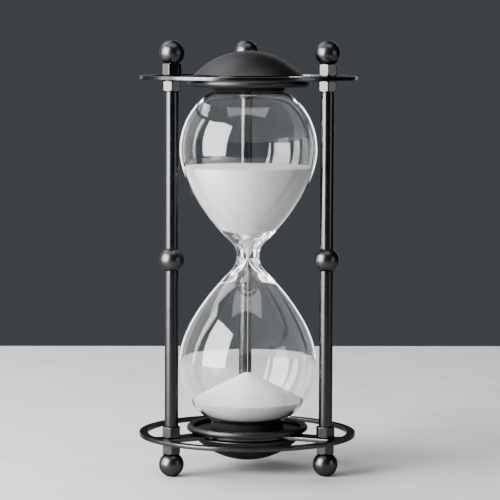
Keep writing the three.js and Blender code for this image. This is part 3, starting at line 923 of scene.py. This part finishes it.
def add_dust(piece):
    """Marks the points of the inside wall, where the sand leaves a film of its finest dust. On
    that wall the normal points inwards, towards the empty space, so it opposes the direction
    away from the middle."""
    points = np.empty(len(piece.data.vertices) * 3, np.float32)
    normals = np.empty_like(points)
    piece.data.vertices.foreach_get("co", points)
    piece.data.vertices.foreach_get("normal", normals)
    points, normals = points.reshape(-1, 3), normals.reshape(-1, 3)
    outwards = (points - (0, 0, MIDDLE)) * (1, 1, UPRIGHT_SHARE)
    facing = np.sum(outwards * normals, axis=1)
    print("points on the inside wall:", int(np.sum(facing < 0)))
    layer = piece.data.attributes.new("dust", "FLOAT", "POINT")
    layer.data.foreach_set("value", (facing < 0).astype(np.float32))


print("deepest wave:", round(4 * WAVE_DEPTH / MM, 3), "mm")

# %% Make the glass
HOLE_EDGE = 0.3 * MM
ROUND_STEPS = 144


def make_glass():
    """One closed surface: up the outside, in through the fill hole, and down the inside."""
    bend, flare, cap = outside_curves(24)
    outer = np.vstack((bend, flare[1:], cap[1:]))
    inner = inside_outline(24)
    down = np.array([1, -1])
    hole = [(FILL_HOLE, GLASS_HALF), (FILL_HOLE, GLASS_HALF - WALL)]
    rim = rounded([outer[-1], *hole, inner[-1]], [HOLE_EDGE, HOLE_EDGE])
    up_the_outside = [[(0, -GLASS_HALF)], (outer * down)[::-1], outer[1:], rim[1:-1]]
    down_the_inside = [inner[::-1], inner * down, [(0, WALL - GLASS_HALF)]]
    profile = np.vstack(up_the_outside + down_the_inside)
    profile[:, 1] += MIDDLE
    piece = turned("glass_bulb", profile, steps=ROUND_STEPS, ripple=waves)
    add_dust(piece)
    return dress(piece, "glass_bulb", clear_glass)


glass = make_glass()
print("glass:", len(glass.data.polygons), "faces")

# %% [markdown]
# The sand goes in through a small hole in the end of one bulb, under the pad, and a rubber plug
# closes it. It is a short cone, so that it wedges, and a turned outline of four corners is enough.

# %% The stopper
PLUG_TAPER = 0.2 * MM
PLUG_EDGE = 0.3 * MM


def make_stopper():
    """A short rubber plug, flush with the end of the glass, with rounded edges."""
    low, high = low_high("fill_stopper")
    radius = high[0]
    corners = [(0, low[2]), (radius - PLUG_TAPER, low[2]), (radius, high[2]), (0, high[2])]
    piece = turned("fill_stopper", rounded(corners, [PLUG_EDGE, PLUG_EDGE]), steps=64)
    return dress(piece, "fill_stopper", stopper_rubber)


stopper = make_stopper()
print("stopper:", round(stopper.dimensions.x / MM, 1), "mm across")

# %% [markdown]
# ## The sand
#
# Loose sand lies at a fixed slope. Above, its surface has sunk a little in the middle, over
# the hole. Below, the stream has built a cone with a rounded tip. Both follow the inside of
# the glass, a hair's breadth away from it, so they are made from the same outline.

# %% Grainy surfaces
SAND_GAP = 0.06 * MM
rng = np.random.default_rng(7)
LEAST = (2, 100, 0, 0.2)
MOST = (7, 900, 2 * np.pi, 1)
RIPPLES = rng.uniform(LEAST, MOST, (14, 4))
print("ripples:", len(RIPPLES), "each with its turns, pitch, start and height")


def settle(strength, edge, lowest, fade):
    """A ripple for turned(): small waves in the free surface of sand. Each is a sine of a whole
    number of turns of the angle and of the radius. They fade out towards the edge, where the
    sand meets the glass, and stay above the lowest point of the free surface."""
    def ripple(angle, radius, height):
        wave = sum(a * np.sin(np.round(k) * angle + f * radius + p) for k, f, p, a in RIPPLES)
        free = np.clip((edge - radius) / fade, 0, 1) * (height > lowest)
        return 0 * radius, strength * wave * free
    return ripple


# %% The upper sand
SINK = 1.2 * MM
UPPER_RIPPLE = 0.025 * MM
UPPER_FADE = 4 * MM
UPPER_DEPTH = 2 * MM


def make_upper_sand():
    """The funnel-shaped body left above: up the glass, then in over a surface that has sunk by
    SINK (1 - s^2), with s the share of the way out from the middle."""
    low, high = low_high("sand_upper")
    wall = inside_outline(40, SAND_GAP)
    wall[:, 1] += MIDDLE
    wall = wall[wall[:, 1] < high[2]]
    level = high[2]
    edge = wall[-1, 0]
    share = np.linspace(1, 0, 60)[1:]
    top = np.column_stack((edge * share, level - SINK * (1 - share**2)))
    profile = np.vstack(([(0, low[2])], wall, top))
    ripple = settle(UPPER_RIPPLE, edge, level - UPPER_DEPTH, UPPER_FADE)
    piece = turned("sand_upper", profile, steps=ROUND_STEPS, ripple=ripple)
    return dress(piece, "sand_upper", sand)


upper_sand = make_upper_sand()
print("upper sand:", round(upper_sand.dimensions.z / MM, 1), "mm tall")

# %% The heap
HEAP_SLOPE = np.tan(np.radians(26))
TIP = 2.2 * MM
HEAP_RIPPLE = 0.04 * MM
HEAP_FADE = 5 * MM


def make_heap():
    """The heap: up the glass, then up a cone whose tip is rounded as a hyperbola, with a height
    of top - slope (sqrt(r^2 + t^2) - t)."""
    low, high = low_high("sand_lower")
    wall = inside_outline(40, SAND_GAP) * np.array([1, -1])
    wall[:, 1] += MIDDLE
    edge_radius = high[0]
    edge_height = high[2] - edge_radius * HEAP_SLOPE
    wall = wall[wall[:, 1] < edge_height][::-1]
    share = np.linspace(1, 0, 90)[1:]
    radius = wall[-1, 0] * share
    cone = high[2] - HEAP_SLOPE * (np.sqrt(radius**2 + TIP**2) - TIP)
    cone += (edge_height - cone[0]) * share
    heap = np.column_stack((radius, cone))
    profile = np.vstack(([(0, wall[0, 1])], wall, heap))
    ripple = settle(HEAP_RIPPLE, edge_radius, edge_height, HEAP_FADE)
    piece = turned("sand_lower", profile, steps=ROUND_STEPS, ripple=ripple)
    return dress(piece, "sand_lower", sand)


heap = make_heap()
print("heap:", round(heap.dimensions.z / MM, 1), "mm tall")

# %% [markdown]
# The stream is a thread of single grains. It could be a cloud of specks, but at this size the
# eye only sees a lumpy thread, and one turned outline gives that.

# %% The falling stream
def make_stream():
    """A thread of falling grains. Grains that have dropped a height h fall at the root of h, so
    the thread's section shrinks by that, and its radius by the fourth root of h. Two sines of
    the height make it lumpy."""
    low, high = low_high("sand_stream")
    radius = high[0]
    z = np.linspace(low[2], high[2], 240)
    fallen = (high[2] - z) / MM
    grains = 0.82 + 0.12 * np.sin(2100 * z) + 0.06 * np.sin(5300 * z + 1)
    thick = radius * grains * (1 + 4 * fallen) ** -0.25
    profile = np.vstack(([(0, z[0])], np.column_stack((thick, z)), [(0, z[-1])]))
    piece = turned("sand_stream", profile, steps=16)
    return dress(piece, "sand_stream", sand)


stream = make_stream()
print("stream:", round(stream.dimensions.z / MM, 1), "mm long")

# %% [markdown]
# ## What is inside
#
# The tie rods, the studs inside the domes and their nuts can't be seen in the finished
# object. Their shapes in the model are right, so they stay and only get the steel finish.

# %% Dress the hidden steel
hidden = [f"{post}_tie_rod" for post in POSTS]
hidden += [f"{end}_centre_{kind}" for end in ENDS for kind in ("stud", "nut")]
for name in hidden:
    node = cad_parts[name]
    node.data.materials.clear()
    node.data.materials.append(steel)
print("hidden steel:", len(hidden))

# %% [markdown]
# ## Table, light and camera
#
# Glass and satin metal show what stands around them more than their own colour. So the light
# is built as for any glassware: a tall soft box at the front left, a smaller one at the front
# right, and a dim grey room. The boxes give the long highlights on the rods and the bright
# panels in the bulbs, and the grey room keeps the black metal black. Two boxes behind, a
# little to each side, draw the bright line along the edge of the glass, and a few weak ones
# fill the sides. Glass passes light on through many surfaces, so rays may bounce often.

# %% A pale table top
def make_table():
    """A rectangular slab of pale stone, made as the ring plates are, with fine flecks and broad
    clouds in its colour."""
    material, tree, shader = new_material("pale table")
    point = place(tree)
    flecks = noise(tree, point, 4 * MM, detail=5, rough=0.75)
    clouds = noise(tree, point, 60 * MM, detail=3, rough=0.5)
    half_flecks = combine(tree, "MULTIPLY", flecks, 0.5)
    tone = combine(tree, "ADD", half_flecks, combine(tree, "MULTIPLY", clouds, 0.5))
    greys = [(0.3, (0.36, 0.36, 0.362)), (0.7, (0.46, 0.46, 0.462))]
    tree.links.new(colours(tree, tone, greys), shader.inputs["Base Color"])
    shader.inputs["Roughness"].default_value = 0.75
    bump(tree, shader, flecks, 0.4 * MM, 0.5)
    side, front, back, corner = 0.9, -0.9, 0.6, 0.04
    middle, right, left = (0, front), [(side, front), (side, back)], [(-side, back), (-side, front)]
    corners = [middle, *right, *left, middle]
    outline = rounded(corners, [corner] * 4, steps=12)[:-1]
    table = sheet_plate("table", [outline], -0.03, 0.0, 5 * MM)
    table.data.materials.append(material)
    return table


table_top = make_table()
print("table:", [round(size, 2) for size in table_top.dimensions], "m")

# %% Soft boxes and the room
def soft_box(name, azimuth, elevation, distance, width, height, radiance, target=(0, 0, 0.13)):
    """A rectangular light that faces the hourglass. Azimuth is from the viewer's side, and
    positive to the right. The power of a lamp of radiance L and area A is pi * L * A watts."""
    lamp = bpy.data.lights.new(name, "AREA")
    lamp.shape = "RECTANGLE"
    lamp.size, lamp.size_y = width, height
    lamp.energy = np.pi * radiance * width * height
    across, up = np.radians(azimuth), np.radians(elevation)
    away = Vector((np.sin(across) * np.cos(up), -np.cos(across) * np.cos(up), np.sin(up)))
    holder = bpy.data.objects.new(name, lamp)
    holder.location = Vector(target) + distance * away
    holder.rotation_euler = away.to_track_quat("Z", "Y").to_euler()
    bpy.context.scene.collection.objects.link(holder)
    return holder


# Each lamp: azimuth, elevation, distance, width, height, radiance
LAMPS = {
    "left box": (-60, 18, 1.1, 0.9, 1.0, 18),
    "left side box": (-98, 16, 1.1, 0.3, 1.0, 7),
    "left back box": (-128, 12, 1.5, 1.0, 1.1, 0.7),
    "right box": (60, 8, 1.2, 0.42, 0.55, 2.2),
    "top box": (-5, 76, 1.3, 1.3, 0.75, 2.0),
    "high left box": (-135, 52, 1.4, 1.1, 0.9, 4),
    "high back box": (180, 26, 1.9, 1.6, 0.5, 2.4),
    "left rim": (-157, 10, 1.8, 0.32, 1.2, 2.6),
    "right rim": (157, 10, 1.8, 0.32, 1.2, 2.2),
}
lamps = [soft_box(name, *settings) for name, settings in LAMPS.items()]
print("lamps:", len(lamps))

# %% The grey room, and how far light is followed
ROOM = (0.066, 0.073, 0.08, 1)
BOUNCES = 32
world = bpy.data.worlds.new("grey room")
bpy.context.scene.world = world
world.use_nodes = True
world.node_tree.nodes["Background"].inputs["Color"].default_value = ROOM
world.node_tree.nodes["Background"].inputs["Strength"].default_value = 1.0
bpy.context.scene.view_settings.look = "AgX - Medium High Contrast"

light_paths = bpy.context.scene.cycles
light_paths.max_bounces = BOUNCES
light_paths.transmission_bounces = BOUNCES
light_paths.glossy_bounces = BOUNCES
print("bounces:", BOUNCES)

# %% [markdown]
# The camera stands a metre and a half away, a little above the top of the hourglass, and
# looks slightly down through a long lens, which keeps the upright posts nearly parallel.

# %% Place the camera
LENS_MM = 181.04
SENSOR_MM = 36.0
AWAY = 1.50188
EYE = 0.26174
ASIDE = np.radians(-1.581)
YAW = np.radians(-0.047)
PITCH = np.radians(4.926)
ROLL = np.radians(0.236)


def place_camera():
    """Builds the view from its forward, right and up directions, rolled a touch."""
    data = bpy.data.cameras.new("camera")
    data.lens = LENS_MM
    data.sensor_width = SENSOR_MM
    camera = bpy.data.objects.new("camera", data)
    turn = ASIDE + YAW
    forward = Vector((-np.sin(turn) * np.cos(PITCH), np.cos(turn) * np.cos(PITCH), -np.sin(PITCH)))
    level = forward.cross(Vector((0, 0, 1))).normalized()
    upright = level.cross(forward)
    right = np.cos(ROLL) * level + np.sin(ROLL) * upright
    up = np.cos(ROLL) * upright - np.sin(ROLL) * level
    view = Matrix((right, up, -forward)).transposed().to_4x4()
    view.translation = Vector((np.sin(ASIDE) * AWAY, -np.cos(ASIDE) * AWAY, EYE))
    camera.matrix_world = view
    bpy.context.scene.collection.objects.link(camera)
    bpy.context.scene.camera = camera


place_camera()
print("camera:", [round(value, 3) for value in bpy.context.scene.camera.location])
